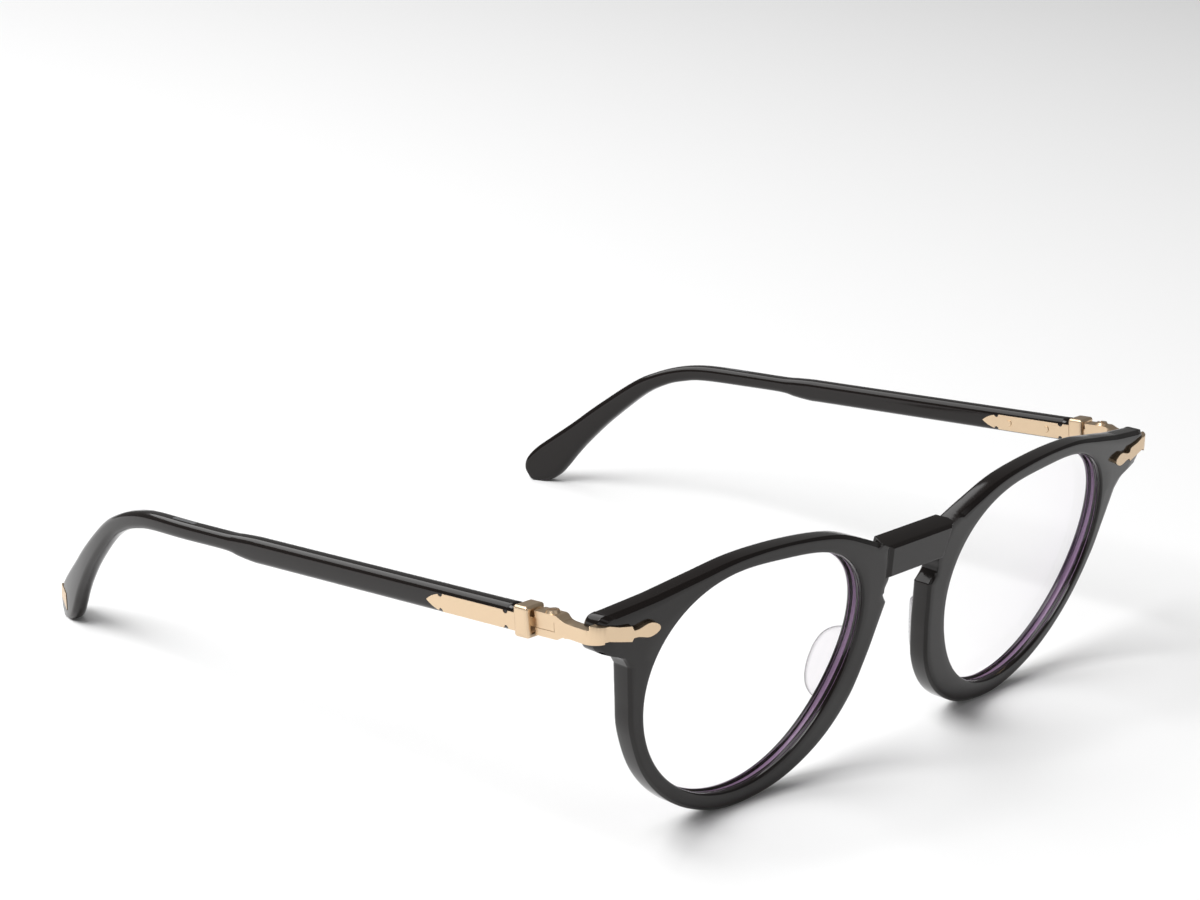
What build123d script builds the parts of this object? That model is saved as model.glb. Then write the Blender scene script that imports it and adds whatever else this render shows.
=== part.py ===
from build123d import *
from math import atan, cos, degrees, hypot, radians, sin, sqrt
import os

# Acetate spectacles with inlaid metal hardware, both temples open. Millimetres.
# +Z is up, the front faces -Y and the wearer's left is +X. The spectacles stand on their two
# rims and their two temple tips at z = 0, and the origin is below the middle of their box.
# Every left piece is drawn, and its right twin is the mirror image.

# ---- driving dimensions: front ----
EYE_SPACING = 70.0          # between the centres of the two lens openings
EYE_RADIUS = 22.1           # mean radius of a lens opening
EYE_OVAL = 1.28             # opening wider than it is tall
EYE_LEAN = 0.35             # its upper outer corner fuller than its upper inner one
EYE_TAPER = 1.0             # narrower at the bottom than at the top
EYE_CORNERS = 0.29          # flattening of the top and the sides
RIM_BOTTOM = 3.2            # rim width under the lens
RIM_SAG = 0.12              # lowest point of the rim below that
FRONT_THICKNESS = 3.6
FRONT_TILT = 10.8           # degrees the top of the front leans forward
WRAP_RADIUS = 600.0         # curve of the front as seen from above
HORN_REACH = 34.8           # lens centre to the outer end of the horn
HORN_TOP = 18.4             # horn's top edge above the lens centres
HORN_HEIGHT = 6.8           # horn's outer end, top to underside
BRIDGE_TOP = 16.9           # top of the bridge above the lens centres
BRIDGE_BOTTOM = 9.5         # top of the keyhole above the lens centres
BRIDGE_PROUD = 0.5          # bridge's front face in front of the rims
BRIDGE_TOP_BEVEL = 1.5      # drop of the bridge's top towards its front face

# ---- driving dimensions: lenses and pads ----
GROOVE_DEPTH = 0.6
GROOVE_WIDTH = 1.0
GROOVE_SETBACK = 1.5        # front face to the groove
LENS_CLEARANCE = 0.05
LENS_THICKNESS = 2.0
LENS_CURVE = 130.0          # radius of the lens's front surface
RIM_COVER = 0.6             # how far a ring in the groove reaches inside the opening
PAD_HEIGHT = 13.4
PAD_DEPTH = 4.8             # how far a nose pad stands off the back of the rim
PAD_THICKNESS = 2.2
PAD_ROOT = 1.3              # how far its flat edge starts inside the rim
PAD_SPLAY = 42.0            # degrees the pads open towards the rear

# ---- driving dimensions: metal hardware ----
BAR_HEIGHT = 2.3
BAR_THICKNESS = 2.0
BAR_PROUD = 0.35            # bar's face in front of the acetate
BAR_RISE = 15.05            # bar's middle above the lens centres at the corner
BAR_CORNER = 2.6            # radius of the bar's outer corner
PIVOT_SETBACK = 10.2        # hinge axis behind the front
PIVOT_RISE = 14.7           # hinge centre above the lens centres
CLEVIS_HEIGHT = 3.7
CLEVIS_OUT = 1.1            # hinge axis to the clevis's outer face
CLEVIS_IN = 1.3             # hinge axis to its inner face
CLEVIS_REACH = 3.05         # hinge axis to the rear of the clevis ears
TONGUE_HEIGHT = 1.4
TONGUE_NOSE = 1.05          # hinge axis to the front end of the tongue
HINGE_GAP = 0.03            # clearance above and below the tongue
SCREW_RADIUS = 0.6
SCREW_CLEARANCE = 0.04      # round the screw in the tongue
SCREW_HEAD_RADIUS = 1.15
SCREW_HEAD_HEIGHT = 0.45
CAP_GAP = 0.25              # clevis ears to the temple cap
CAP_LENGTH = 3.0
CAP_HEIGHT = 4.9
CAP_WALL = 0.5
RIVET_RADIUS = 0.5

# ---- driving dimensions: temples ----
TEMPLE_DROP = 5.14          # degrees the temples slope down to the rear
TEMPLE_LENGTH = 143.0       # hinge axis to the end of the tip
TEMPLE_HEIGHT = 4.2
TEMPLE_THICKNESS = 3.2
TEMPLE_OUT = 1.9            # hinge axis to the temple's outer face
STEP_LENGTH = 8.0           # where the temple steps down to its neck
NECK_LENGTH = 66.0          # end of the step to the end of the tip
BEND_LENGTH = 46.0          # ear bend and drop, along the temple
CURVE_LENGTH = 57.0         # rear part that curves inwards
CURVE_RADIUS = 165.0
PLAQUE_LENGTH = 19.5
PLAQUE_HEIGHT = 2.8
PLAQUE_THICKNESS = 0.8
PLAQUE_PROUD = 0.08
PLAQUE_DROP = 0.25          # plaque's middle below the middle of the temple
CORE_HEIGHT = 2.0
CORE_THICKNESS = 0.8

# ---- places worked out from them ----


def eye_radius(angle):
    """Lens centre to the edge of its opening, by the angle in degrees from the temple side."""
    turn = radians(angle)
    return (
        EYE_RADIUS
        + EYE_OVAL * cos(2 * turn)
        + EYE_LEAN * sin(2 * turn)
        + EYE_TAPER * sin(3 * turn)
        - EYE_CORNERS * cos(4 * turn - radians(27))
    )


def eye_point(angle, grow=0.0):
    """A point on the opening of the left lens, or that far outside it, in the front's plane."""
    reach = eye_radius(angle) + grow
    return (EYE_SPACING / 2 + reach * cos(radians(angle)), reach * sin(radians(angle)))


def wrap_setback(across, depth=0.0):
    """How far the surface that lies this deep in the front has curved back at this width."""
    radius = WRAP_RADIUS - depth
    return WRAP_RADIUS - sqrt(radius * radius - across * across)


tilt = radians(FRONT_TILT)
drop = radians(TEMPLE_DROP)
horn_end = EYE_SPACING / 2 + HORN_REACH
pivot_across = horn_end + 0.3
eye_height = (eye_radius(-90) + RIM_BOTTOM + RIM_SAG) * cos(tilt)
overall_depth = PIVOT_SETBACK + TEMPLE_LENGTH * cos(drop) + 3.9
front_y = -overall_depth / 2 + 4.72
step_end = TEMPLE_LENGTH - NECK_LENGTH
step_start = step_end - STEP_LENGTH
curve_start = TEMPLE_LENGTH - CURVE_LENGTH
pivot_y = front_y + PIVOT_SETBACK
pivot_z = eye_height + PIVOT_RISE

# In the front's plane x is across, y is up the front and z points forward.
front_plane = Plane(
    origin=(0, front_y, eye_height), x_dir=(1, 0, 0), z_dir=(0, -cos(tilt), -sin(tilt))
)
# In the wrap plane x is across and y points to the rear; it looks down the front.
wrap_plane = Plane(origin=front_plane.origin, x_dir=(1, 0, 0), z_dir=front_plane.y_dir)
# In the section plane x points to the rear and y is up the front.
section_plane = Plane(
    origin=front_plane.origin, x_dir=(0, cos(tilt), sin(tilt)), z_dir=(1, 0, 0)
)
# In the temple's side plane x runs to the rear and y is up; z is outwards. In its plan plane
# x runs to the rear and y is outwards. Both start at the middle of the left hinge.
pivot = (pivot_across, pivot_y, pivot_z)
temple_side = Plane(origin=pivot, x_dir=(0, cos(drop), -sin(drop)), z_dir=(1, 0, 0))
temple_plan = Plane(origin=pivot, x_dir=temple_side.x_dir, z_dir=-temple_side.y_dir)

# The walls of the front are level, although the front itself leans.
LEVEL = (0, 1, 0)
CUT_REACH = 20              # more than any cut through the front needs

os.makedirs("parts", exist_ok=True)


def keep(piece, name):
    """Label a finished piece and write its file."""
    piece.label = name
    export_step(piece, f"parts/{name}.step")


def keep_pair(piece, name):
    """Write a left piece and its mirror image on the right."""
    keep(piece, f"{name}_left")
    keep(mirror(piece, about=Plane.YZ), f"{name}_right")


# ---- lens groove and lenses ----
groove_middle = GROOVE_SETBACK + GROOVE_WIDTH / 2
eye_turns = range(0, 360, 15)


def curved_slab(near, far, across):
    """Section of the front between two depths, seen from above, out to a width."""
    corners = [
        (across, wrap_setback(across, near)),
        (across, wrap_setback(across, far)),
    ]
    Polyline(*corners)
    ThreePointArc(
        corners[1],
        (across / 2, wrap_setback(across / 2, far)),
        (0, wrap_setback(0, far)),
    )
    Line((0, wrap_setback(0, far)), (0, wrap_setback(0, near)))
    ThreePointArc(
        (0, wrap_setback(0, near)),
        (across / 2, wrap_setback(across / 2, near)),
        corners[0],
    )


def ring_slab(grow, near, far):
    """Ring round the opening, out to its grown outline, between two depths of the curved front."""
    with BuildPart() as slab:
        with BuildSketch(front_plane):
            with BuildLine():
                Spline(*[eye_point(turn, grow) for turn in eye_turns], periodic=True)
            make_face()
            with BuildLine():
                Spline(*[eye_point(turn, -RIM_COVER) for turn in eye_turns], periodic=True)
            make_face(mode=Mode.SUBTRACT)
        extrude(amount=CUT_REACH, dir=LEVEL, both=True)
        with BuildSketch(wrap_plane):
            with BuildLine():
                curved_slab(near, far, horn_end)
            make_face()
        extrude(amount=60, both=True, mode=Mode.INTERSECT)
    return slab.part


groove = ring_slab(GROOVE_DEPTH, GROOVE_SETBACK, GROOVE_SETBACK + GROOVE_WIDTH)
bevel_reach = GROOVE_DEPTH - LENS_CLEARANCE
bevel_near = GROOVE_SETBACK + LENS_CLEARANCE
bevel_far = GROOVE_SETBACK + GROOVE_WIDTH - LENS_CLEARANCE
bevel = ring_slab(bevel_reach, bevel_near, bevel_far)

# The lens is a meniscus whose axis leans outwards with the wrap of the front.
lens_lean = degrees(atan(EYE_SPACING / 2 / WRAP_RADIUS))
lens_edge_sag = EYE_RADIUS**2 / 2 / LENS_CURVE
lens_front = groove_middle - LENS_THICKNESS / 2 - lens_edge_sag
lens_centre = front_plane.from_local_coords(
    (EYE_SPACING / 2, 0, -wrap_setback(EYE_SPACING / 2) - lens_front)
)
lens_axis = front_plane.z_dir.rotate(Axis((0, 0, 0), front_plane.y_dir), lens_lean)
lens_section = Plane(origin=lens_centre, x_dir=front_plane.x_dir.rotate(
    Axis((0, 0, 0), front_plane.y_dir), lens_lean), z_dir=-front_plane.y_dir)
lens_reach = EYE_RADIUS + 8

with BuildPart() as lens_shell:
    with BuildSketch(lens_section):
        with BuildLine():
            outer_sag = LENS_CURVE - sqrt(LENS_CURVE**2 - lens_reach**2)
            inner_curve = LENS_CURVE - LENS_THICKNESS
            inner_sag = LENS_CURVE - sqrt(inner_curve**2 - lens_reach**2)
            Line((0, 0), (0, -LENS_THICKNESS))
            RadiusArc((0, -LENS_THICKNESS), (lens_reach, -inner_sag), inner_curve)
            Line((lens_reach, -inner_sag), (lens_reach, -outer_sag))
            RadiusArc((lens_reach, -outer_sag), (0, 0), -LENS_CURVE)
        make_face()
    revolve(axis=Axis(lens_centre, lens_axis))
    with BuildSketch(front_plane):
        with BuildLine():
            Spline(
                *[eye_point(turn, -LENS_CLEARANCE) for turn in eye_turns], periodic=True
            )
        make_face()
    extrude(amount=CUT_REACH, dir=LEVEL, both=True, mode=Mode.INTERSECT)

with BuildPart() as lens:
    add(lens_shell.part)
    add(bevel)
keep_pair(lens.part, "lens")

# ---- metal bar: finial, corner and hinge clevis ----
# The bar lies in a groove across the horn, wraps its corner and runs back to the hinge.
bar_tilt_shift = front_y - (BAR_RISE * sin(tilt))
bar_end = horn_end - 11.5
bar_out = pivot_across + CLEVIS_OUT
bar_slope = horn_end / WRAP_RADIUS
face_at_corner = bar_tilt_shift + wrap_setback(horn_end) * cos(tilt) - BAR_PROUD
plan_run = 14.0
bar_z = eye_height + BAR_RISE * cos(tilt)

with BuildPart() as bar_slab:
    with BuildSketch(Plane.XY.offset(bar_z)):
        with BuildLine():
            near_corner = (bar_out, face_at_corner)
            far_corner = (bar_out - BAR_THICKNESS, face_at_corner + BAR_THICKNESS)
            Polyline(
                (bar_out - plan_run, face_at_corner - plan_run * bar_slope),
                near_corner,
                (bar_out, pivot_y),
                (bar_out - BAR_THICKNESS, pivot_y),
                far_corner,
                (bar_out - plan_run, face_at_corner + BAR_THICKNESS - plan_run * bar_slope),
                close=True,
            )
        make_face()
    extrude(amount=6, both=True)
    corner_edges = bar_slab.edges().filter_by(Axis.Z)
    fillet(corner_edges.sort_by_distance((*near_corner, bar_z))[0], BAR_CORNER)
    fillet(
        bar_slab.edges().filter_by(Axis.Z).sort_by_distance((*far_corner, bar_z))[0],
        BAR_CORNER - 1.8,
    )

half_bar = BAR_HEIGHT / 2
neck = horn_end - 6.0
notch_low = BAR_RISE - 1.55
with BuildPart() as front_arm:
    with BuildSketch(front_plane):
        with BuildLine():
            Polyline(
                (neck, notch_low + 1.15),
                (neck + 0.35, notch_low + 1.85),
                (neck + 2.8, BAR_RISE + half_bar - 0.5),
                (neck + 4.6, BAR_RISE + half_bar),
                (bar_out + 1, BAR_RISE + half_bar),
                (bar_out + 1, BAR_RISE - half_bar),
                (neck + 4.6, BAR_RISE - half_bar),
                (neck + 2.8, BAR_RISE - half_bar - 0.4),
                (neck + 0.35, notch_low - 0.5),
                (neck, notch_low),
            )
            Spline(
                (neck, notch_low),
                (neck - 1.4, notch_low - 0.1),
                (neck - 3.3, notch_low - 0.4),
                (neck - 5.0, notch_low + 0.65),
                (neck - 3.3, notch_low + 1.7),
                (neck - 1.4, notch_low + 1.3),
                (neck, notch_low + 1.15),
            )
        make_face()
    extrude(amount=CUT_REACH, both=True)
    add(bar_slab.part, mode=Mode.INTERSECT)
    # behind the corner the side arm takes over
    with BuildSketch(Plane.XY.offset(bar_z - 6)):
        with Locations((bar_out, face_at_corner + 1.3 + plan_run)):
            Rectangle(2 * BAR_THICKNESS, 2 * plan_run)
    extrude(amount=12, mode=Mode.SUBTRACT)

# Two rivets hold the bar in the horn; their heads are on the back of the front.
rivet_places = [(horn_end - 3.4, BAR_RISE), (horn_end - 8.0, BAR_RISE - 0.95)]
with BuildPart() as endpiece_rivets:
    for across, rise in rivet_places:
        back_face = -wrap_setback(across, FRONT_THICKNESS)
        with BuildSketch(front_plane.offset(back_face)):
            with Locations((across, rise)):
                Circle(RIVET_RADIUS)
        extrude(amount=FRONT_THICKNESS + BAR_PROUD - BAR_THICKNESS * 0.65)
        with BuildSketch(front_plane.offset(back_face + 0.1)):
            with Locations((across, rise)):
                Circle(RIVET_RADIUS * 1.7)
        extrude(amount=-0.35, taper=20)
keep_pair(endpiece_rivets.part, "endpiece_rivets")

half_clevis = CLEVIS_HEIGHT / 2
flare_start = -5.0
flare_end = -1.2
with BuildPart() as side_arm:
    with BuildSketch(temple_side.offset(-6)):
        with BuildLine():
            Polyline(
                (-PIVOT_SETBACK - 3, 0.45),
                (flare_start, 0.9),
            )
            Spline(
                (flare_start, 0.9),
                (-3.2, 1.15),
                (flare_end, half_clevis),
                tangents=[(1, 0.1), (1, 0)],
            )
            Polyline(
                (flare_end, half_clevis),
                (0, half_clevis),
                (0, -half_clevis),
                (flare_end, -half_clevis),
            )
            Spline(
                (flare_end, -half_clevis),
                (-3.2, -1.35),
                (flare_start, -1.25),
                tangents=[(-1, 0), (-1, -0.1)],
            )
            Polyline(
                (flare_start, -1.25),
                (-PIVOT_SETBACK - 3, -1.85),
                (-PIVOT_SETBACK - 3, 0.45),
            )
        make_face()
    extrude(amount=12)
    add(bar_slab.part, mode=Mode.INTERSECT)
    with BuildSketch(Plane.XY.offset(bar_z - 6)):
        with Locations((bar_out - BAR_THICKNESS - 20, front_y)):
            Rectangle(40, 60)
    extrude(amount=12, mode=Mode.SUBTRACT)

ear_outer = sqrt(CLEVIS_REACH**2 - CLEVIS_OUT**2)
ear_inner = sqrt(CLEVIS_REACH**2 - CLEVIS_IN**2)
slot_radius = hypot(TONGUE_NOSE, CLEVIS_IN - 0.2) + 0.12
slot_half = TONGUE_HEIGHT / 2 + HINGE_GAP
with BuildPart() as endpiece_bar:
    add(front_arm.part)
    add(side_arm.part)
    with BuildSketch(temple_plan.offset(-half_clevis)):
        with BuildLine():
            Polyline(
                (ear_inner, -CLEVIS_IN),
                (-2.0, -CLEVIS_IN),
                (-3.0, CLEVIS_OUT - BAR_THICKNESS),
                (-3.0, CLEVIS_OUT),
                (ear_outer, CLEVIS_OUT),
            )
            ThreePointArc((ear_outer, CLEVIS_OUT), (CLEVIS_REACH, 0), (ear_inner, -CLEVIS_IN))
        make_face()
    extrude(amount=CLEVIS_HEIGHT)
    # the clevis flares out of the arm, above and below
    with BuildSketch(temple_side.offset(-6)):
        for side in (1, -1):
            with BuildLine():
                Spline((-3.2, side * 1.25), (flare_end, side * half_clevis), tangents=[(1, 0), (1, 0)])
                Polyline(
                    (flare_end, side * half_clevis),
                    (flare_end, side * (half_clevis + 1)),
                    (-3.2, side * (half_clevis + 1)),
                    (-3.2, side * 1.25),
                )
            make_face()
    extrude(amount=12, mode=Mode.SUBTRACT)
    # slot for the tongue
    with BuildSketch(temple_plan.offset(-slot_half)):
        Circle(slot_radius)
        with Locations((CLEVIS_REACH / 2 + 0.5, 0)):
            Rectangle(CLEVIS_REACH + 1, 2 * CLEVIS_REACH)
    extrude(amount=2 * slot_half, mode=Mode.SUBTRACT)
    # hole for the screw
    with BuildSketch(temple_plan.offset(-half_clevis - 1)):
        Circle(SCREW_RADIUS)
    extrude(amount=CLEVIS_HEIGHT + 2, mode=Mode.SUBTRACT)
    add(endpiece_rivets.part, mode=Mode.SUBTRACT)
keep_pair(endpiece_bar.part, "endpiece_bar")

with BuildPart() as hinge_screw:
    with BuildSketch(temple_plan.offset(-half_clevis)):
        Circle(SCREW_RADIUS)
    extrude(amount=CLEVIS_HEIGHT)
    with BuildSketch(temple_plan.offset(-half_clevis)):
        Circle(SCREW_HEAD_RADIUS)
    extrude(amount=-SCREW_HEAD_HEIGHT, taper=25)
    with BuildSketch(temple_plan.offset(-half_clevis - SCREW_HEAD_HEIGHT + 0.25)):
        Rectangle(3, 0.3, rotation=35)
    extrude(amount=-1, mode=Mode.SUBTRACT)
keep_pair(hinge_screw.part, "hinge_screw")

# ---- front frame ----
valley = eye_point(150.5, 7.35)
bridge_corner = (valley[0] - 2.8, BRIDGE_TOP)
corner_round = 1.5
horn_low = HORN_TOP - HORN_HEIGHT
cusp = eye_point(171, 6.2)
brow_widths = {140: 4.7, 123: 3.2, 97: 2.7, 70: 2.6, 51: 3.8, 38.4: 7.4}
rim_widths = {
    4: 3.1, -10: 2.6, -30: 2.45, -50: 2.55, -70: 2.8, -90: RIM_BOTTOM,
    -110: 3.75, -125: 4.55, -140: 5.3, -155: 5.5, -170: 5.1, 178: 5.4,
}

with BuildPart() as front_half:
    with BuildSketch(front_plane):
        with BuildLine():
            Polyline((0, BRIDGE_BOTTOM + 0.1), (0, BRIDGE_TOP), bridge_corner, valley)
            Spline(
                valley,
                *[eye_point(turn, width) for turn, width in brow_widths.items()],
                (horn_end - corner_round, HORN_TOP),
                tangents=[(1, 0.5), (1, -0.25)],
            )
            RadiusArc(
                (horn_end - corner_round, HORN_TOP),
                (horn_end, HORN_TOP - corner_round),
                corner_round,
            )
            Line((horn_end, HORN_TOP - corner_round), (horn_end, horn_low + 2.2))
            Spline(
                (horn_end, horn_low + 2.2),
                (horn_end - 0.8, horn_low + 0.9),
                (horn_end - 2.6, horn_low),
                (horn_end - 5.3, horn_low - 1.1),
                (horn_end - 7.0, horn_low - 3.2),
                *[eye_point(turn, width) for turn, width in rim_widths.items()],
                cusp,
            )
            ThreePointArc(cusp, (cusp[0] + 1.5, BRIDGE_BOTTOM - 2.3), (cusp[0] + 0.7, BRIDGE_BOTTOM))
            Line((cusp[0] + 0.7, BRIDGE_BOTTOM), (0, BRIDGE_BOTTOM + 0.1))
        make_face()
    extrude(amount=CUT_REACH, dir=LEVEL, both=True)
    with BuildSketch(wrap_plane):
        with BuildLine():
            curved_slab(0, FRONT_THICKNESS, horn_end + 1)
        make_face()
    extrude(amount=60, both=True, mode=Mode.INTERSECT)
    # lens opening and its groove
    with BuildSketch(front_plane):
        with BuildLine():
            Spline(*[eye_point(turn) for turn in eye_turns], periodic=True)
        make_face()
    extrude(amount=CUT_REACH, dir=LEVEL, both=True, mode=Mode.SUBTRACT)
    add(groove, mode=Mode.SUBTRACT)

with BuildPart() as front_frame:
    add(front_half.part)
    mirror(about=Plane.YZ)
    # the bridge stands proud of the rims, with sloping ends and a top that falls to the front
    with BuildSketch(front_plane.offset(-0.2)):
        with BuildLine():
            Polyline(
                (-valley[0], valley[1] - 0.2),
                (valley[0], valley[1] - 0.2),
                (cusp[0] + 1.3, BRIDGE_BOTTOM),
                (-cusp[0] - 1.3, BRIDGE_BOTTOM),
                close=True,
            )
        make_face()
    extrude(amount=BRIDGE_PROUD + 0.2, taper=30)
    with BuildSketch(section_plane):
        with BuildLine():
            Polyline(
                (-2, BRIDGE_TOP - BRIDGE_TOP_BEVEL),
                (0, BRIDGE_TOP - BRIDGE_TOP_BEVEL),
                (FRONT_THICKNESS, BRIDGE_TOP),
                (FRONT_THICKNESS, BRIDGE_TOP + 2),
                (-2, BRIDGE_TOP + 2),
                close=True,
            )
        make_face()
    extrude(amount=valley[0], both=True, mode=Mode.SUBTRACT)
    # seats for the metal bars
    add(endpiece_bar.part, mode=Mode.SUBTRACT)
    add(mirror(endpiece_bar.part, about=Plane.YZ, mode=Mode.PRIVATE), mode=Mode.SUBTRACT)
    add(endpiece_rivets.part, mode=Mode.SUBTRACT)
    add(mirror(endpiece_rivets.part, about=Plane.YZ, mode=Mode.PRIVATE), mode=Mode.SUBTRACT)
keep(front_frame.part, "front_frame")


# ---- nose pads ----
# A pad is a half drop on the back of the nasal rim that leans outwards towards the rear.
pad_slant = radians(15.5)
pad_open = radians(PAD_SPLAY)
pad_up = (-sin(pad_slant), cos(pad_slant), 0)
pad_back = (
    sin(pad_open) * cos(pad_slant),
    sin(pad_open) * sin(pad_slant),
    -cos(pad_open),
)
pad_root = eye_point(-163.5, 2.9)
pad_origin = Vector(pad_root[0], pad_root[1], -FRONT_THICKNESS)
pad_plane = Plane(
    origin=front_plane.from_local_coords(pad_origin),
    x_dir=front_plane.from_local_coords(pad_origin + Vector(pad_back))
    - front_plane.from_local_coords(pad_origin),
    z_dir=front_plane.from_local_coords(pad_origin + Vector(pad_back).cross(Vector(pad_up)))
    - front_plane.from_local_coords(pad_origin),
)
pad_half = PAD_HEIGHT / 2
with BuildPart() as nose_pad:
    with BuildSketch(pad_plane.offset(-PAD_THICKNESS / 2)):
        with BuildLine():
            Line((-PAD_ROOT, -pad_half), (-PAD_ROOT, pad_half))
            Spline(
                (-PAD_ROOT, pad_half),
                (PAD_DEPTH * 0.55, pad_half * 0.82),
                (PAD_DEPTH, -pad_half * 0.1),
                (PAD_DEPTH * 0.6, -pad_half * 0.9),
                (-PAD_ROOT, -pad_half),
                tangents=[(1, 0), (-1, 0)],
            )
        make_face()
    extrude(amount=PAD_THICKNESS)
    add(front_frame.part, mode=Mode.SUBTRACT)
keep_pair(nose_pad.part, "nose_pad")

# ---- temple cap with the hinge tongue ----
cap_start = CLEVIS_REACH + CAP_GAP
cap_end = cap_start + CAP_LENGTH
cap_margin = (CAP_HEIGHT - TEMPLE_HEIGHT) / 2
temple_in = TEMPLE_OUT - TEMPLE_THICKNESS
cap_out = TEMPLE_OUT + cap_margin
cap_in = temple_in - cap_margin
tenon_depth = CAP_LENGTH - 1.2
tenon_height = TEMPLE_HEIGHT - 2 * CAP_WALL
tenon_out = TEMPLE_OUT - CAP_WALL
tenon_in = temple_in + CAP_WALL

with BuildPart() as temple_cap:
    with BuildSketch(temple_side.offset(cap_in)):
        with Locations(((cap_start + cap_end) / 2, 0)):
            Rectangle(CAP_LENGTH, CAP_HEIGHT)
    extrude(amount=cap_out - cap_in)
    fillet(temple_cap.edges(), 0.5)
    # shallow recess round the tongue
    front_face = Plane(
        origin=temple_side.from_local_coords((cap_start, 0, (cap_in + cap_out) / 2)),
        x_dir=temple_side.z_dir,
        z_dir=-temple_side.x_dir,
    )
    with BuildSketch(front_face):
        RectangleRounded(cap_out - cap_in - 1.3, CAP_HEIGHT - 1.3, 0.4)
    extrude(amount=-0.3, mode=Mode.SUBTRACT)
    # socket for the temple's tenon
    with BuildSketch(temple_side.offset(tenon_in)):
        with Locations((cap_end - tenon_depth / 2, 0)):
            Rectangle(tenon_depth, tenon_height)
    extrude(amount=tenon_out - tenon_in, mode=Mode.SUBTRACT)
    # tongue with its screw hole
    with BuildSketch(temple_plan.offset(-TONGUE_HEIGHT / 2)):
        with BuildLine():
            Polyline(
                (-TONGUE_NOSE, 0.25 - CLEVIS_IN),
                (-TONGUE_NOSE, CLEVIS_OUT - 0.1),
                (cap_start + 0.5, CLEVIS_OUT - 0.1),
                (cap_start + 0.5, 0.25 - CLEVIS_IN),
                close=True,
            )
        make_face()
    extrude(amount=TONGUE_HEIGHT)
    with BuildSketch(temple_plan.offset(-CAP_HEIGHT / 2)):
        Circle(SCREW_RADIUS + SCREW_CLEARANCE)
    extrude(amount=CAP_HEIGHT, mode=Mode.SUBTRACT)
keep_pair(temple_cap.part, "temple_cap")

# ---- temple, its core strip and its inlays ----


def temple_across(along, depth=0.0):
    """How far out the surface lies that is this deep in the temple, at a distance along it."""
    radius = CURVE_RADIUS - depth
    run = max(0.0, along - curve_start)
    return TEMPLE_OUT - depth - radius + sqrt(radius * radius - run * run)


def plan_strip(start, near, far):
    """Closed outline between two depths in the temple, seen from above."""
    end = TEMPLE_LENGTH + 2
    middle = (curve_start + end) / 2
    Line((start, TEMPLE_OUT - near), (curve_start, TEMPLE_OUT - near))
    ThreePointArc(
        (curve_start, TEMPLE_OUT - near),
        (middle, temple_across(middle, near)),
        (end, temple_across(end, near)),
    )
    Line((end, temple_across(end, near)), (end, temple_across(end, far)))
    ThreePointArc(
        (end, temple_across(end, far)),
        (middle, temple_across(middle, far)),
        (curve_start, TEMPLE_OUT - far),
    )
    Polyline(
        (curve_start, TEMPLE_OUT - far), (start, TEMPLE_OUT - far), (start, TEMPLE_OUT - near)
    )


# The drop is drawn for a tip that hangs 27 mm below the line of the temple, and scaled to reach
# the surface that the spectacles stand on.
tip_lowest = TEMPLE_LENGTH - 4.2
bend_start = TEMPLE_LENGTH - BEND_LENGTH
tip_scale = (pivot_z - tip_lowest * sin(drop)) / cos(drop) / 27.1


def drop_point(along, height):
    """A point of the ear bend, from where the bend starts and the line of the temple."""
    return (bend_start + along, height * tip_scale)


half_temple = TEMPLE_HEIGHT / 2
drop_upper = [
    (0.5, 1.85), (7.0, 1.15), (13.0, -0.5), (19.0, -3.1), (28.0, -8.85),
    (37.7, -15.7), (43.2, -19.6), (46.0, -23.2), (44.8, -26.0),
]
drop_lower = [
    (41.5, -27.0), (38.4, -25.3), (34.2, -20.6), (25.9, -12.7), (18.0, -6.6),
    (10.5, -3.0), (4.0, -1.4),
]
with BuildPart() as temple_blank:
    with BuildSketch(temple_side.offset(-40)):
        with BuildLine():
            Polyline(
                (step_start, -half_temple),
                (cap_end, -half_temple),
                (cap_end, half_temple),
                (step_start, half_temple),
            )
            Spline(
                (step_start, half_temple),
                (step_end, half_temple - 0.35),
                *[drop_point(*place) for place in drop_upper + drop_lower],
                (step_end, 0.9 - half_temple),
                (step_start, -half_temple),
                tangents=[(1, 0), (-1, 0)],
            )
        make_face()
    extrude(amount=80)
    with BuildSketch(temple_plan.offset(-40)):
        with BuildLine():
            plan_strip(cap_end, 0, TEMPLE_THICKNESS)
        make_face()
    extrude(amount=80, mode=Mode.INTERSECT)

plate_end = cap_end + PLAQUE_LENGTH - 3.2
half_plaque = PLAQUE_HEIGHT / 2
bite_places = [
    (along, side * half_plaque) for along in (cap_end + 1.9, plate_end) for side in (-1, 1)
]
# The plaque runs from the cap to its arrowhead, waisted by two pairs of round bites.
with BuildSketch() as plaque_outline:
    with BuildLine():
        Polyline(
            (plate_end, 0.8), (plate_end, half_plaque), (cap_end, half_plaque),
            (cap_end, -half_plaque), (plate_end, -half_plaque), (plate_end, -0.8),
            (plate_end + 0.5, 0.15 - half_plaque),
        )
        ThreePointArc(
            (plate_end + 0.5, 0.15 - half_plaque), (plate_end + 2.1, -0.7), (plate_end + 3.2, 0)
        )
        ThreePointArc(
            (plate_end + 3.2, 0), (plate_end + 2.1, 0.7), (plate_end + 0.5, half_plaque - 0.15)
        )
        Line((plate_end + 0.5, half_plaque - 0.15), (plate_end, 0.8))
    make_face()
    with Locations(*bite_places):
        Circle(0.5, mode=Mode.SUBTRACT)
plaque_shape = Pos(0, -PLAQUE_DROP) * plaque_outline.sketch


with BuildPart() as outer_plaque:
    with BuildSketch(temple_side.offset(TEMPLE_OUT - PLAQUE_THICKNESS)):
        add(plaque_shape)
    extrude(amount=PLAQUE_THICKNESS + PLAQUE_PROUD)
keep_pair(outer_plaque.part, "outer_plaque")

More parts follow.
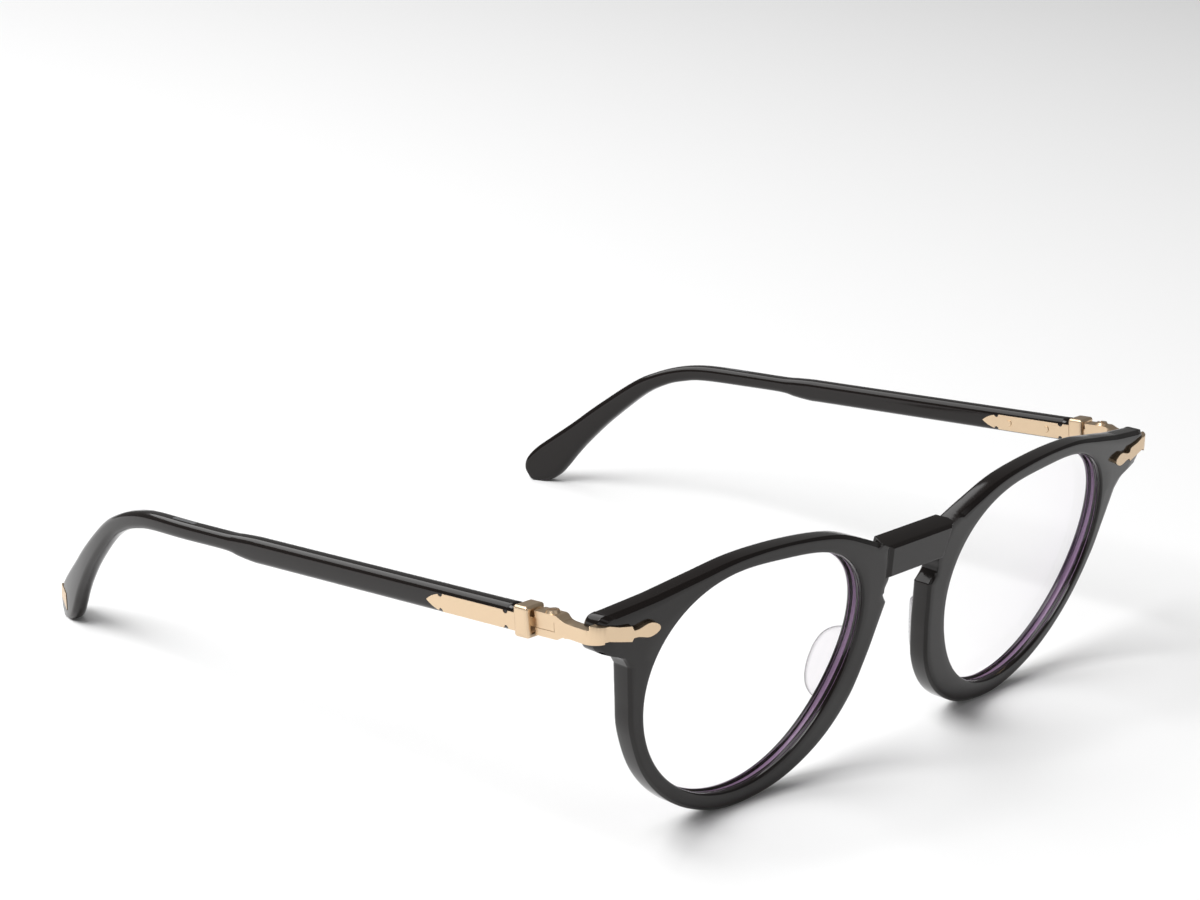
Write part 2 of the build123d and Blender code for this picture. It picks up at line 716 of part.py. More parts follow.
plaque_middle = cap_end + PLAQUE_LENGTH / 2 - 0.5
plaque_rivet_places = [(plaque_middle + run, -PLAQUE_DROP) for run in (-4.2, 4.2)]
with BuildPart() as plaque_rivets:
    with BuildSketch(temple_side.offset(temple_in - PLAQUE_PROUD)):
        with Locations(*plaque_rivet_places):
            Circle(RIVET_RADIUS)
    extrude(amount=TEMPLE_THICKNESS - PLAQUE_THICKNESS + PLAQUE_PROUD)
    with BuildSketch(temple_side.offset(temple_in - PLAQUE_PROUD)):
        with Locations(*plaque_rivet_places):
            Circle(RIVET_RADIUS * 1.3)
    extrude(amount=-0.15, taper=20)
keep_pair(plaque_rivets.part, "plaque_rivets")

with BuildPart() as inner_plaque:
    with BuildSketch(temple_side.offset(temple_in - PLAQUE_PROUD)):
        add(plaque_shape)
        with Locations(*plaque_rivet_places):
            Circle(RIVET_RADIUS, mode=Mode.SUBTRACT)
    extrude(amount=PLAQUE_THICKNESS + PLAQUE_PROUD)
keep_pair(inner_plaque.part, "inner_plaque")

# A flat metal strip stiffens the temple from the cap to near the tip.
core_path = [(2.0, 0.4), (16.0, -3.6), (24.0, -8.9), (32.0, -15.8)]
core_near = (TEMPLE_THICKNESS - CORE_THICKNESS) / 2
with BuildPart() as core_strip:
    with BuildSketch(temple_side.offset(-40)):
        with BuildLine():
            Line((cap_end - tenon_depth + 0.3, 0), (step_start, 0))
            Spline(
                (step_start, 0),
                (step_end, 0.3),
                *[drop_point(*place) for place in core_path],
                tangents=[(1, 0), (1, -0.8)],
            )
        trace(line_width=CORE_HEIGHT)
    extrude(amount=80)
    with BuildSketch(temple_plan.offset(-40)):
        with BuildLine():
            plan_strip(cap_end - CAP_LENGTH, core_near, core_near + CORE_THICKNESS)
        make_face()
    extrude(amount=80, mode=Mode.INTERSECT)
    add(plaque_rivets.part, mode=Mode.SUBTRACT)
keep_pair(core_strip.part, "core_strip")

inlay_depth = 0.7
with BuildPart() as tip_inlay:
    with BuildSketch(temple_side.offset(-40)):
        with BuildLine():
            Polyline(
                drop_point(41.9, -25.2),
                drop_point(41.6, -21.9),
                drop_point(43.8, -20.4),
                drop_point(44.7, -23.0),
                close=True,
            )
        make_face()
    extrude(amount=80)
    with BuildSketch(temple_plan.offset(-40)):
        with BuildLine():
            plan_strip(curve_start - 1, -PLAQUE_PROUD, inlay_depth)
        make_face()
    extrude(amount=80, mode=Mode.INTERSECT)
keep_pair(tip_inlay.part, "tip_inlay")

tenon_clearance = 0.03
with BuildPart() as temple:
    add(temple_blank.part)
    with BuildSketch(temple_side.offset(tenon_in + tenon_clearance)):
        with Locations((cap_end - (tenon_depth - tenon_clearance) / 2, 0)):
            Rectangle(tenon_depth - tenon_clearance, tenon_height - 2 * tenon_clearance)
    extrude(amount=tenon_out - tenon_in - 2 * tenon_clearance)
    for inlaid in (outer_plaque, inner_plaque, plaque_rivets, core_strip, tip_inlay):
        add(inlaid.part, mode=Mode.SUBTRACT)
keep_pair(temple.part, "temple")
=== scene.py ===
from math import atan, atan2, cos, hypot, pi, radians, sin, sqrt, tan

import bmesh
import bpy
from mathutils import Matrix, Vector


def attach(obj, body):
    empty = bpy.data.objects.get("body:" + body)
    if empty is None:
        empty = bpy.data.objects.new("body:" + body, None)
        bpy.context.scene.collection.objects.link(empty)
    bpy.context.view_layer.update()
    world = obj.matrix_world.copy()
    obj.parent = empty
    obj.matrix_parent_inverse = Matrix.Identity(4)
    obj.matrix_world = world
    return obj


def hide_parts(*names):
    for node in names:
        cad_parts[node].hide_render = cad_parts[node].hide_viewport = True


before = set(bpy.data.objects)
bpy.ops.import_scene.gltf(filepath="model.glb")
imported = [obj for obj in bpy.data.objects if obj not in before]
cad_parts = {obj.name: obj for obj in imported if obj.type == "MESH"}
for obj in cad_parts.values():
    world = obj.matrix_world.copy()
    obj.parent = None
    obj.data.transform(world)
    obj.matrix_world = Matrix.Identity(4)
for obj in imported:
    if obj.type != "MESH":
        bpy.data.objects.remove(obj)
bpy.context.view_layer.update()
scene = bpy.context.scene
MM = 0.001

# ---- the frame's own shape, in millimetres ----
EYE_SPACING = 70.0
EYE_RADIUS = 22.1
EYE_OVAL = 1.28
EYE_LEAN = 0.35
EYE_TAPER = 1.0
EYE_CORNERS = 0.29
FRONT_THICKNESS = 3.6
FRONT_TILT = radians(10.8)
WRAP_RADIUS = 600.0
HORN_END = EYE_SPACING / 2 + 34.8
HORN_TOP = 18.4
HORN_LOW = 11.6
HORN_CORNER = 1.5
GROOVE_DEPTH = 0.6
GROOVE_MIDDLE = 2.0         # behind the front face
BRIDGE_PROUD = 0.5
LENS_CURVE = 130.0
LENS_THICKNESS = 2.0
LENS_CLEARANCE = 0.05
LENS_BEVEL = 0.5
PAD_HALF_HEIGHT = 6.7
PAD_DEPTH = 4.8
PAD_THICKNESS = 2.2
PAD_ROOT = 1.3              # the pad's flat edge starts this far inside the rim
PAD_SLANT = radians(15.5)
PAD_SPLAY = radians(42.0)
PAD_ANGLE = -163.5          # where on the opening the pad is rooted
FRONT_Y = -73.5425
EYE_HEIGHT = 24.4409
PIVOT = (70.1, -63.3425, 39.1409)
TEMPLE_DROP = radians(5.14)
TEMPLE_LENGTH = 143.0
TEMPLE_OUT = 1.9
TEMPLE_HEIGHT = 4.2
TEMPLE_THICKNESS = 3.2
CAP_END = 6.3               # hinge to the rear of the metal cap
BEND_LENGTH = 46.0
CURVE_START = 86.0
CURVE_RADIUS = 165.0


def eye_radius(angle):
    turn = radians(angle)
    return (
        EYE_RADIUS
        + EYE_OVAL * cos(2 * turn)
        + EYE_LEAN * sin(2 * turn)
        + EYE_TAPER * sin(3 * turn)
        - EYE_CORNERS * cos(4 * turn - radians(27))
    )


def wrap_setback(across, depth):
    radius = WRAP_RADIUS - depth
    return WRAP_RADIUS - sqrt(radius * radius - across * across)


def on_front(across, rise, depth):
    """A point of the curved and leaning front, in metres; its walls run level to the rear."""
    back = wrap_setback(across, depth) / cos(FRONT_TILT)
    return Vector((
        across,
        FRONT_Y - rise * sin(FRONT_TILT) + back,
        EYE_HEIGHT + rise * cos(FRONT_TILT),
    )) * MM


# ---- mesh helpers ----


def mesh_piece(name, points, faces, body, smooth=True):
    """A mesh object from points and faces, riding on one body of the frame."""
    mesh = bpy.data.meshes.new(name)
    mesh.from_pydata([tuple(p) for p in points], [], faces)
    mesh.validate()
    mesh.update()
    piece = bpy.data.objects.new(name, mesh)
    scene.collection.objects.link(piece)
    for face in mesh.polygons:
        face.use_smooth = smooth
    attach(piece, body)
    return piece


def turn_outwards(piece):
    """Make every face of a closed mesh look outwards."""
    shape = bmesh.new()
    shape.from_mesh(piece.data)
    bmesh.ops.recalc_face_normals(shape, faces=shape.faces)
    shape.to_mesh(piece.data)
    shape.free()


def tube_faces(stations, around, closed):
    """Quads between rings of points; closed joins the last ring to the first."""
    faces = []
    for i in range(stations if closed else stations - 1):
        j = (i + 1) % stations
        for k in range(around):
            m = (k + 1) % around
            faces.append((i * around + k, i * around + m, j * around + m, j * around + k))
    if not closed:
        faces.append(tuple(range(around)))
        faces.append(tuple((stations - 1) * around + k for k in range(around)))
    return faces


def smooth_through(values, steps):
    """Points of a smooth curve through a row of tuples, with so many steps to each span."""
    rows = [values[0]] + list(values) + [values[-1]]
    result = []
    for i in range(1, len(rows) - 2):
        for step in range(steps):
            t = step / steps
            point = []
            for a, b, c, d in zip(rows[i - 1], rows[i], rows[i + 1], rows[i + 2]):
                point.append(0.5 * (
                    2 * b + (c - a) * t + (2 * a - 5 * b + 4 * c - d) * t * t
                    + (3 * b - a - 3 * c + d) * t * t * t
                ))
            result.append(tuple(point))
    result.append(tuple(values[-1]))
    return result


def mirrored(points):
    return [Vector((-p[0], p[1], p[2])) for p in points]


def pair(name, points, faces, body_left, body_right, smooth=True):
    """The left piece and its mirror image."""
    left = mesh_piece(name + "_left_look", points, faces, body_left, smooth)
    right = mesh_piece(name + "_right_look", mirrored(points), faces, body_right, smooth)
    for piece in (left, right):
        turn_outwards(piece)
    return left, right


# ---- rims ----
# The rim's outer outline by the angle from the temple side, as distance from the lens centre.


def polar(across, rise):
    out = across - EYE_SPACING / 2
    return (atan2(rise, out) * 180 / pi % 360, hypot(out, rise))


def grown(angle, width):
    return (angle % 360, eye_radius(angle) + width)


brow = [(140, 4.7), (123, 3.2), (97, 2.7), (70, 2.6), (51, 3.8), (38.4, 7.4)]
rim = [
    (4, 3.1), (-10, 2.6), (-30, 2.45), (-50, 2.55), (-70, 2.8), (-90, 3.2),
    (-110, 3.75), (-125, 4.55), (-140, 5.3), (-155, 5.5), (-170, 5.1), (178, 5.4),
]
cusp = grown(171, 6.2)
horn = [
    polar(HORN_END - 2.6, HORN_TOP - 0.05),
    polar(HORN_END - HORN_CORNER, HORN_TOP - 0.1),
    polar(HORN_END - 0.45, HORN_TOP - 0.5),
    polar(HORN_END, HORN_TOP - HORN_CORNER),
    polar(HORN_END, HORN_LOW + 3.4),
    polar(HORN_END, HORN_LOW + 2.2),
    polar(HORN_END - 0.8, HORN_LOW + 0.9),
    polar(HORN_END - 2.6, HORN_LOW - 0.05),
    polar(HORN_END - 5.3, HORN_LOW - 1.1),
    polar(HORN_END - 7.0, HORN_LOW - 3.2),
]
upper = [(150.5, eye_radius(150.5) + 7.35)] + [grown(a, w) for a, w in brow] + horn
lower = [grown(a, w) for a, w in rim] + [cusp]
keyhole = [(6.6, 6.0), (7.0, 7.4), (6.5, 9.3), (6.9, 12.2)]
ear = [polar(across, rise) for across, rise in keyhole]


def curve_xy(places, steps):
    """Smooth outline through polar places, as points from the lens centre."""
    flat = [(r * cos(radians(a)), r * sin(radians(a))) for a, r in places]
    return smooth_through(flat, steps)


outline = curve_xy(upper[:7], 14)[:-1]
outline += curve_xy(upper[6:], 7)[:-1]
outline += curve_xy([upper[-1]] + lower, 14)[:-1]
outline += curve_xy([cusp] + ear + [upper[0]], 6)[:-1]

# Across the rim: a soft front face, square walls with rounded edges and a V groove for the lens.


def rim_section(width, facet):
    """Points round the rim's section: (distance from the opening, depth from the front face)."""
    r, b = 0.45, 0.7
    points = []
    for i in range(5):
        a = i / 4 * pi / 2
        points.append((r - r * cos(a), r - r * sin(a)))
    for part in (0.25, 0.5, 0.75):
        points.append((r + (width - r - facet) * part, 0.0))
    drop = facet * 0.8
    lip = 0.12
    points += [
        (width - facet - lip, 0.0), (width - facet, lip * 0.3), (width - facet + lip, lip),
        (width - facet * 0.5, drop * 0.55), (width - lip, drop - lip * 0.6),
        (width - 0.02, drop), (width, drop + lip), (width, FRONT_THICKNESS * 0.6),
    ]
    for i in range(5):
        a = i / 4 * pi / 2
        points.append((width - b + b * cos(a), FRONT_THICKNESS - b + b * sin(a)))
    points.append((width / 2, FRONT_THICKNESS))
    for i in range(5):
        a = pi / 2 + i / 4 * pi / 2
        points.append((b + b * cos(a), FRONT_THICKNESS - b + b * sin(a)))
    mouth, floor_half = 0.55, 0.1
    points += [
        (0.0, GROOVE_MIDDLE + mouth), (GROOVE_DEPTH, GROOVE_MIDDLE + floor_half),
        (GROOVE_DEPTH, GROOVE_MIDDLE - floor_half), (0.0, GROOVE_MIDDLE - mouth),
    ]
    return points


def facet_at(angle):
    """Width of the brow's facet: widest at the horn and beside the bridge."""
    if 147 <= angle <= 167:
        return 0.1
    if 20 <= angle < 147:
        from_middle = abs(angle - 92) / 65
        return 0.4 + 0.7 * min(1.0, from_middle) ** 1.6
    return 0.45


def rim_points():
    rings = []
    for x, y in outline:
        angle = atan2(y, x) * 180 / pi
        inner = eye_radius(angle)
        width = hypot(x, y) - inner
        for reach, depth in rim_section(width, min(facet_at(angle % 360), width * 0.45)):
            r = inner + reach
            rings.append(on_front(
                EYE_SPACING / 2 + r * cos(radians(angle)), r * sin(radians(angle)), depth
            ))
    return rings


around = len(rim_section(3.0, 0.5))
rims = pair("rim", rim_points(), tube_faces(len(outline), around, True), "front", "front")

# ---- bridge: a raised bar with sloping ends whose top falls to the front ----


def bridge_ring(rise_top, rise_low, half_top, half_low, depth):
    return [
        on_front(half_top, rise_top, depth), on_front(half_low, rise_low, depth),
        on_front(-half_low, rise_low, depth), on_front(-half_top, rise_top, depth),
    ]


bridge_points = bridge_ring(15.05, 9.75, 7.55, 6.75, -BRIDGE_PROUD)
bridge_points += bridge_ring(15.4, 9.45, 8.15, 7.35, -0.02)
bridge_points += bridge_ring(15.5, 9.45, 8.9, 8.2, 0.1)
bridge_points += bridge_ring(16.0, 9.45, 8.9, 8.2, 1.5)
bridge_points += bridge_ring(16.3, 9.45, 8.0, 8.2, FRONT_THICKNESS - 0.05)
bridge_faces = tube_faces(5, 4, False)
bridge = mesh_piece("bridge_look", bridge_points, bridge_faces, "front", False)
turn_outwards(bridge)
soften = bridge.modifiers.new("soft edges", "BEVEL")
soften.width = 0.28 * MM
soften.segments = 3
soften.limit_method = "ANGLE"
soften.angle_limit = radians(15)
soften.harden_normals = True
bridge.data.polygons.foreach_set("use_smooth", [True] * len(bridge.data.polygons))

# ---- lenses: menisci bevelled into the groove ----
lens_lean = atan(EYE_SPACING / 2 / WRAP_RADIUS)
lens_depth = GROOVE_MIDDLE - LENS_THICKNESS / 2 - EYE_RADIUS**2 / 2 / LENS_CURVE
LENS_TURNS = 120
LENS_PARTS = [0.02, 0.25, 0.5, 0.7, 0.85, 0.94, 1.0]
LENS_AROUND = 2 * len(LENS_PARTS) + 2
BEVEL_COLUMNS = (6, 7, 8)   # faces of each ring that make the ground edge


def lens_point(angle, reach, behind):
    """A point of the lens; its surfaces bulge forwards from the rim."""
    x = reach * cos(radians(angle))
    y = reach * sin(radians(angle))
    middle = wrap_setback(EYE_SPACING / 2, 0) + lens_depth + behind
    back = middle + tan(lens_lean) * x + (x * x + y * y) / 2 / LENS_CURVE
    return Vector((
        EYE_SPACING / 2 + x,
        FRONT_Y - y * sin(FRONT_TILT) + back / cos(FRONT_TILT),
        EYE_HEIGHT + y * cos(FRONT_TILT),
    )) * MM


def lens_points():
    rings = []
    for n in range(LENS_TURNS):
        angle = n * 360 / LENS_TURNS
        edge = eye_radius(angle) - LENS_CLEARANCE
        rings += [lens_point(angle, edge * part, 0.0) for part in LENS_PARTS]
        tip = edge + LENS_BEVEL
        for depth in (GROOVE_MIDDLE - 0.1, GROOVE_MIDDLE + 0.1):
            rings.append(on_front(
                EYE_SPACING / 2 + tip * cos(radians(angle)), tip * sin(radians(angle)), depth
            ))
        rings += [lens_point(angle, edge * part, LENS_THICKNESS) for part in reversed(LENS_PARTS)]
    return rings


lens_faces = []
for i in range(LENS_TURNS):
    j = (i + 1) % LENS_TURNS
    for k in range(LENS_AROUND - 1):
        a, b = i * LENS_AROUND + k, j * LENS_AROUND + k
        lens_faces.append((a, a + 1, b + 1, b))
lens_faces.append(tuple(i * LENS_AROUND for i in range(LENS_TURNS)))
lens_faces.append(tuple(i * LENS_AROUND + LENS_AROUND - 1 for i in range(LENS_TURNS)))
lenses = pair("lens", lens_points(), lens_faces, "front", "front")

# ---- bars between paired outlines: temples and nose pads ----


CORNER_STEPS = 5
LOFT_AROUND = 4 * CORNER_STEPS
TEMPLE_STEPS = 8
PAD_STEPS = 3


def loft_section(half_flat, half_round, corner):
    """Rounded rectangle as (up, out) parts, both from -1 to 1 of the two half sizes."""
    points = []
    for quarter in range(4):
        for i in range(CORNER_STEPS):
            a = (quarter + i / (CORNER_STEPS - 1)) * pi / 2
            cu = (half_flat - corner) * (1 if quarter in (0, 3) else -1)
            co = (half_round - corner) * (1 if quarter in (0, 1) else -1)
            points.append((cu + corner * cos(a), co + corner * sin(a)))
    return points


# Upper and lower edge of the temple, along it from the hinge and up from its line.
drop_scale = (PIVOT[2] - (TEMPLE_LENGTH - 4.2) * sin(TEMPLE_DROP)) / cos(TEMPLE_DROP) / 27.1
bend_start = TEMPLE_LENGTH - BEND_LENGTH
half_height = TEMPLE_HEIGHT / 2
straight = [(along, half_height, along, -half_height) for along in (CAP_END, 30, 50, 66, 69)]
straight += [(73, 1.95, 73, -1.75), (77, 1.75, 77, -1.2), (87, 1.8, 87, -1.2)]
bend = [
    (0.5, 1.85, 0.8, -1.25), (7.0, 1.15, 5.6, -1.8), (13.0, -0.5, 10.8, -3.1),
    (19.0, -3.1, 16.9, -6.0), (28.0, -8.85, 25.5, -12.4), (34.5, -13.5, 31.0, -17.3),
    (39.6, -17.0, 34.2, -20.6), (43.2, -19.6, 36.6, -23.4), (45.4, -22.0, 38.6, -25.5),
    (45.9, -24.0, 40.6, -26.8), (45.3, -25.5, 42.4, -27.0), (44.4, -26.4, 43.4, -26.8),
]
edges = straight + [
    (bend_start + a, b * drop_scale, bend_start + c, d * drop_scale) for a, b, c, d in bend
]


def temple_across(along, depth):
    radius = CURVE_RADIUS - depth
    run = max(0.0, along - CURVE_START)
    return TEMPLE_OUT - depth - radius + sqrt(radius * radius - run * run)


def on_temple(along, rise, depth):
    """A point of the left temple, in metres."""
    return Vector((
        PIVOT[0] + temple_across(along, depth),
        PIVOT[1] + along * cos(TEMPLE_DROP) + rise * sin(TEMPLE_DROP),
        PIVOT[2] - along * sin(TEMPLE_DROP) + rise * cos(TEMPLE_DROP),
    )) * MM


def temple_points():
    rings = []
    for ux, uy, lx, ly in smooth_through(edges, TEMPLE_STEPS):
        half = hypot(ux - lx, uy - ly) / 2
        mx, my = (ux + lx) / 2, (uy + ly) / 2
        dx, dy = (ux - lx) / 2 / half, (uy - ly) / 2 / half
        corner = min(1.15, half * 0.7)
        for up, out in loft_section(half, TEMPLE_THICKNESS / 2, corner):
            rings.append(on_temple(mx + dx * up, my + dy * up, TEMPLE_THICKNESS / 2 - out))
    return rings


temple_faces = tube_faces(TEMPLE_STEPS * (len(edges) - 1) + 1, LOFT_AROUND, False)
temples = pair("temple", temple_points(), temple_faces, "left_temple", "right_temple")

# ---- nose pads: half drops that lean out towards the rear ----
pad_up = Vector((-sin(PAD_SLANT), cos(PAD_SLANT), 0))
pad_back = Vector((
    sin(PAD_SPLAY) * cos(PAD_SLANT), sin(PAD_SPLAY) * sin(PAD_SLANT), -cos(PAD_SPLAY)
))
pad_side = pad_back.cross(pad_up)
pad_reach = eye_radius(PAD_ANGLE) + 2.9
pad_root = Vector((
    EYE_SPACING / 2 + pad_reach * cos(radians(PAD_ANGLE)),
    pad_reach * sin(radians(PAD_ANGLE)),
    -FRONT_THICKNESS,
))
pad_edge = [
    (0.985, 0.1), (0.93, 0.35), (0.82, 0.62), (0.62, 0.85), (0.35, 0.97), (0.1, 1.0),
    (-0.2, 0.985), (-0.5, 0.9), (-0.75, 0.74), (-0.9, 0.52), (-0.97, 0.3), (-0.992, 0.12),
]


def pad_points():
    rings = []
    for rise, reach in smooth_through(pad_edge, PAD_STEPS):
        length = PAD_ROOT + PAD_DEPTH * reach
        thick = PAD_THICKNESS / 2 * min(1.0, sqrt(max(0.05, 1 - rise * rise)) * 1.35)
        for up, out in loft_section(length / 2, thick, min(thick * 0.95, length * 0.45)):
            place = (
                pad_root + pad_back * (length / 2 - PAD_ROOT + up)
                + pad_up * rise * PAD_HALF_HEIGHT + pad_side * out
            )
            rings.append(on_pad(place))
    return rings


def on_pad(place):
    """From the front's leaning plane to the row's axes, in metres."""
    return Vector((
        place.x,
        FRONT_Y - place.y * sin(FRONT_TILT) - place.z * cos(FRONT_TILT),
        EYE_HEIGHT + place.y * cos(FRONT_TILT) - place.z * sin(FRONT_TILT),
    )) * MM


pad_faces = tube_faces(PAD_STEPS * (len(pad_edge) - 1) + 1, LOFT_AROUND, False)
pads = pair("nose_pad", pad_points(), pad_faces, "front", "front")

# ---- materials ----


def linear(hex_colour):
    """sRGB hex to linear red, green and blue."""
    channels = [int(hex_colour[i:i + 2], 16) / 255 for i in (1, 3, 5)]
    return tuple(
        c / 12.92 if c <= 0.04045 else ((c + 0.055) / 1.055) ** 2.4 for c in channels
    ) + (1.0,)


def add_node(material, kind, settings, links):
    """Add one node, set its sockets or properties, and link its inputs to other nodes' outputs."""
    node = material.node_tree.nodes.new(kind)
    for key, value in settings.items():
        if isinstance(key, int) or key in node.inputs:
            node.inputs[key].default_value = value
        else:
            setattr(node, key, value)
    for key, (source, output) in links.items():
        material.node_tree.links.new(source.outputs[output], node.inputs[key])
    return node


def new_material(name):
    material = bpy.data.materials.new(name)
    material.use_nodes = True
    material.node_tree.nodes.clear()
    return material


# Black cellulose acetate, milled from sheet and barrel polished.
acetate = new_material("polished black acetate")
coords = add_node(acetate, "ShaderNodeTexCoord", {}, {})
waves = add_node(
    acetate, "ShaderNodeTexNoise", {"Scale": 260.0, "Detail": 2.0}, {"Vector": (coords, "Object")}
)
hills = add_node(
    acetate, "ShaderNodeBump", {"Strength": 0.04, "Distance": 0.0001}, {"Height": (waves, "Fac")}
)
shader = add_node(
    acetate, "ShaderNodeBsdfPrincipled",
    {
        "Base Color": linear("#120d0b"), "Roughness": 0.12, "IOR": 1.49,
        "Specular IOR Level": 0.36,
    },
    {"Normal": (hills, "Normal")},
)
add_node(acetate, "ShaderNodeOutputMaterial", {}, {"Surface": (shader, "BSDF")})

# Nickel silver stamped to shape and plated in a pale rose gold with a satin finish.
gold = new_material("satin champagne gold plating")
coords = add_node(gold, "ShaderNodeTexCoord", {}, {})
grain = add_node(
    gold, "ShaderNodeTexNoise", {"Scale": 2500.0, "Detail": 2.0}, {"Vector": (coords, "Object")}
)
hills = add_node(
    gold, "ShaderNodeBump", {"Strength": 0.12, "Distance": 0.00003}, {"Height": (grain, "Fac")}
)
shader = add_node(
    gold, "ShaderNodeBsdfPrincipled",
    {"Base Color": linear("#dcc3a4"), "Metallic": 1.0, "Roughness": 0.32},
    {"Normal": (hills, "Normal")},
)
add_node(gold, "ShaderNodeOutputMaterial", {}, {"Surface": (shader, "BSDF")})

# Plain drawn steel strip, seen only through a cut.
steel = new_material("drawn steel strip")
shader = add_node(
    steel, "ShaderNodeBsdfPrincipled",
    {"Base Color": linear("#8f9092"), "Metallic": 1.0, "Roughness": 0.4}, {},
)
add_node(steel, "ShaderNodeOutputMaterial", {}, {"Surface": (shader, "BSDF")})

# Clear demonstration lens in hard resin with a purple anti-reflection coating.
lens_clear = new_material("coated clear lens")
through = add_node(lens_clear, "ShaderNodeBsdfTransparent", {"Color": linear("#ffffff")}, {})
shine = add_node(
    lens_clear, "ShaderNodeBsdfGlossy", {"Color": linear("#b79cc4"), "Roughness": 0.02}, {}
)
facing = add_node(lens_clear, "ShaderNodeLayerWeight", {"Blend": 0.5}, {})
steep = add_node(
    lens_clear, "ShaderNodeMath", {"operation": "POWER", 1: 6.0}, {0: (facing, "Facing")}
)
strength = add_node(
    lens_clear, "ShaderNodeMath", {"operation": "MULTIPLY_ADD", 1: 0.6, 2: 0.005},
    {0: (steep, "Value")},
)
mixed = add_node(
    lens_clear, "ShaderNodeMixShader", {},
    {0: (strength, "Value"), 1: (through, "BSDF"), 2: (shine, "BSDF")},
)
add_node(lens_clear, "ShaderNodeOutputMaterial", {}, {"Surface": (mixed, "Shader")})

# The ground edge of the lens, painted purple: a painted reflection of the coating, whose purple
# shows strongest there.
lens_edge_painted_purple = new_material("ground lens edge")
# Painted reflection: the see-through tint and the solid colour below both carry the coating's
# purple.
through = add_node(lens_edge_painted_purple, "ShaderNodeBsdfTransparent", {"Color": linear("#e2d2e4")}, {})
shine = add_node(
    lens_edge_painted_purple, "ShaderNodeBsdfPrincipled",
    {"Base Color": linear("#9f82a2"), "Roughness": 0.25, "IOR": 1.5}, {},
)
mixed = add_node(
    lens_edge_painted_purple, "ShaderNodeMixShader", {0: 0.7}, {1: (through, "BSDF"), 2: (shine, "BSDF")}
)
add_node(lens_edge_painted_purple, "ShaderNodeOutputMaterial", {}, {"Surface": (mixed, "Shader")})

# Clear acetate pad, polished; its edges look grey where light bends away, painted here as grey
# shade mixed in towards the edges.
pad_clear = new_material("clear polished acetate")
through = add_node(pad_clear, "ShaderNodeBsdfTransparent", {"Color": linear("#fbfafb")}, {})
# Painted shade: a dark grey surface that takes over towards the grazing edges.
painted_edge_shade = add_node(
    pad_clear, "ShaderNodeBsdfPrincipled",
    {"Base Color": linear("#3f3842"), "Roughness": 0.08, "IOR": 1.49}, {},
)
facing = add_node(pad_clear, "ShaderNodeLayerWeight", {"Blend": 0.5}, {})
curve = add_node(
    pad_clear, "ShaderNodeMath", {"operation": "POWER", 1: 1.8}, {0: (facing, "Facing")}
)
mixed = add_node(
    pad_clear, "ShaderNodeMixShader", {},
    {0: (curve, "Value"), 1: (through, "BSDF"), 2: (painted_edge_shade, "BSDF")},
)
add_node(pad_clear, "ShaderNodeOutputMaterial", {}, {"Surface": (mixed, "Shader")})

for piece in (*rims, bridge, *temples):
    piece.data.materials.append(acetate)
for piece in lenses:
    piece.data.materials.append(lens_clear)
    piece.data.materials.append(lens_edge_painted_purple)
    for index, face in enumerate(piece.data.polygons):
        on_side = index < LENS_TURNS * (LENS_AROUND - 1)
        if on_side and index % (LENS_AROUND - 1) in BEVEL_COLUMNS:
            face.material_index = 1
for piece in pads:
    piece.data.materials.append(pad_clear)

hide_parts("front_frame")
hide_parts("front_frame")
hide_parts("front_frame")
for kind, (left, right) in (("lens", lenses), ("temple", temples), ("nose_pad", pads)):
    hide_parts(kind + "_left")
    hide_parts(kind + "_right")
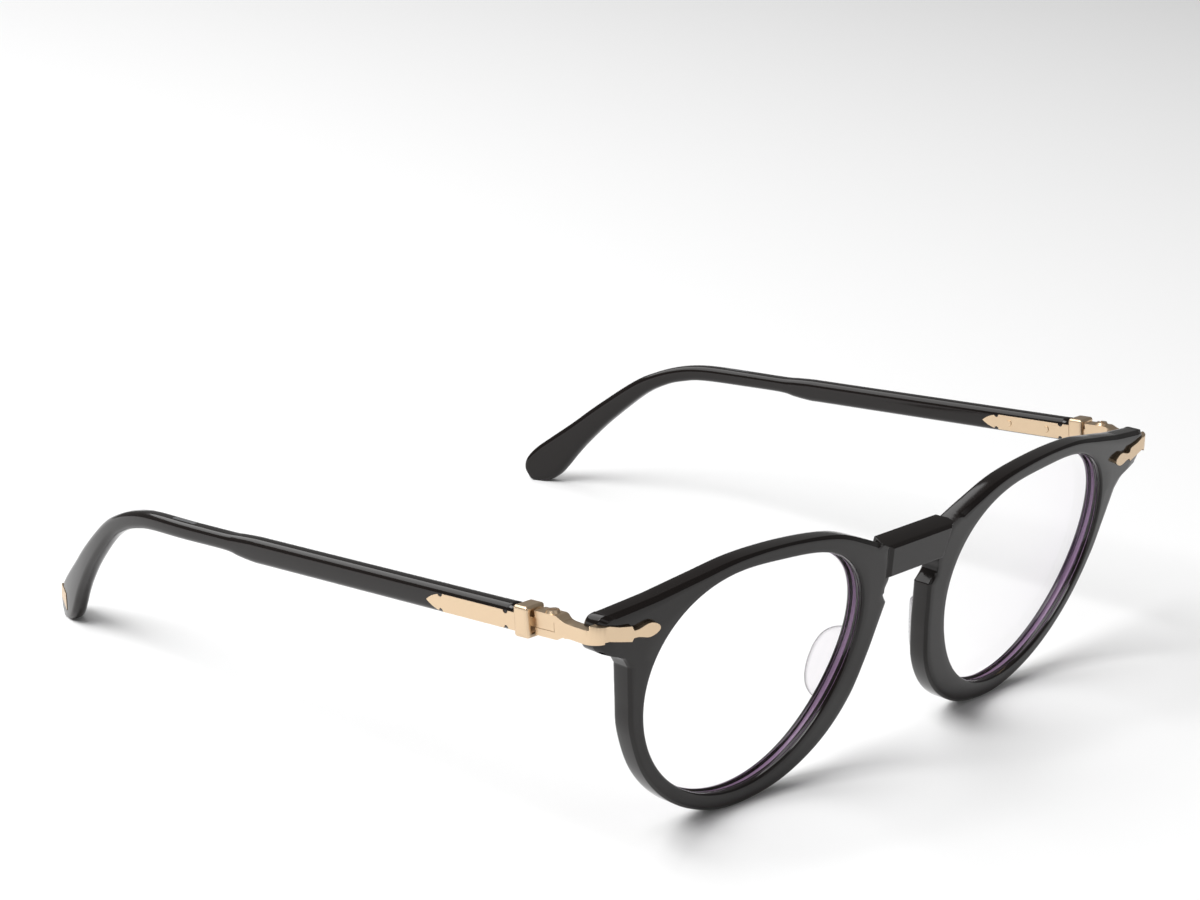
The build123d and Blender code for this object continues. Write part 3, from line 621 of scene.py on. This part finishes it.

# The other pieces keep their exact shape; the end-piece bars, plaques and temple caps get softened
# edges.
for node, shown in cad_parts.items():
    kind = node.rsplit("_", 1)[0]
    if kind in ("front", "lens", "temple", "nose_pad"):
        continue
    shown.data.materials.clear()
    shown.data.materials.append(steel if kind == "core_strip" else gold)
    if kind in ("endpiece_bar", "outer_plaque", "inner_plaque", "temple_cap"):
        weld = shown.modifiers.new("joined corners", "WELD")
        weld.merge_threshold = 0.002 * MM
        edge = shown.modifiers.new("softened edges", "BEVEL")
        edge.width = (0.3 if kind == "endpiece_bar" else 0.12) * MM
        edge.segments = 3
        edge.limit_method = "ANGLE"
        edge.angle_limit = radians(35)
        edge.harden_normals = True

# ---- floor, light and camera ----
bpy.ops.mesh.primitive_plane_add(size=6)
floor = bpy.context.object
floor.name = "floor"
paper = new_material("white paper sweep")
shader = add_node(
    paper, "ShaderNodeBsdfPrincipled", {"Base Color": linear("#f4f4f4"), "Roughness": 0.9}, {}
)
add_node(paper, "ShaderNodeOutputMaterial", {}, {"Surface": (shader, "BSDF")})
floor.data.materials.append(paper)

world = bpy.data.worlds.new("studio")
world.use_nodes = True
world.node_tree.nodes["Background"].inputs["Color"].default_value = (1, 1, 1, 1)
world.node_tree.nodes["Background"].inputs["Strength"].default_value = 0.22
scene.world = world


def soft_light(name, place, target, size, power):
    """A square diffuser of that size in metres, turned to face the target."""
    data = bpy.data.lights.new(name, "AREA")
    data.shape = "RECTANGLE"
    data.size, data.size_y = size
    data.energy = power
    lamp = bpy.data.objects.new(name, data)
    lamp.location = place
    lamp.rotation_euler = (Vector(target) - Vector(place)).to_track_quat("-Z", "Y").to_euler()
    scene.collection.objects.link(lamp)


soft_light("overhead_left", (-0.7, 0.1, 1.0), (0, 0, 0.02), (0.7, 0.7), 12.5)
soft_light("behind", (-0.2, 1.15, 1.2), (0.1, 0.3, 0), (2.0, 1.2), 19.0)
soft_light("front_fill", (-0.1, -1.1, 0.5), (0, 0, 0.02), (0.9, 0.5), 1.0)

camera = bpy.data.objects.new("camera", bpy.data.cameras.new("camera"))
scene.collection.objects.link(camera)
right = Vector((0.70160, -0.71242, 0.01467))
up = Vector((0.20171, 0.21832, 0.95480))
back = Vector((-0.68342, -0.66693, 0.29688))
turned = Matrix((right, up, back)).transposed().to_4x4()
camera.matrix_world = Matrix.Translation((-0.3188, -0.3149, 0.1758)) @ turned
camera.data.lens = 77.88
camera.data.sensor_width = 36.0
camera.data.clip_start = 0.01
scene.camera = camera
scene.view_settings.view_transform = "Standard"
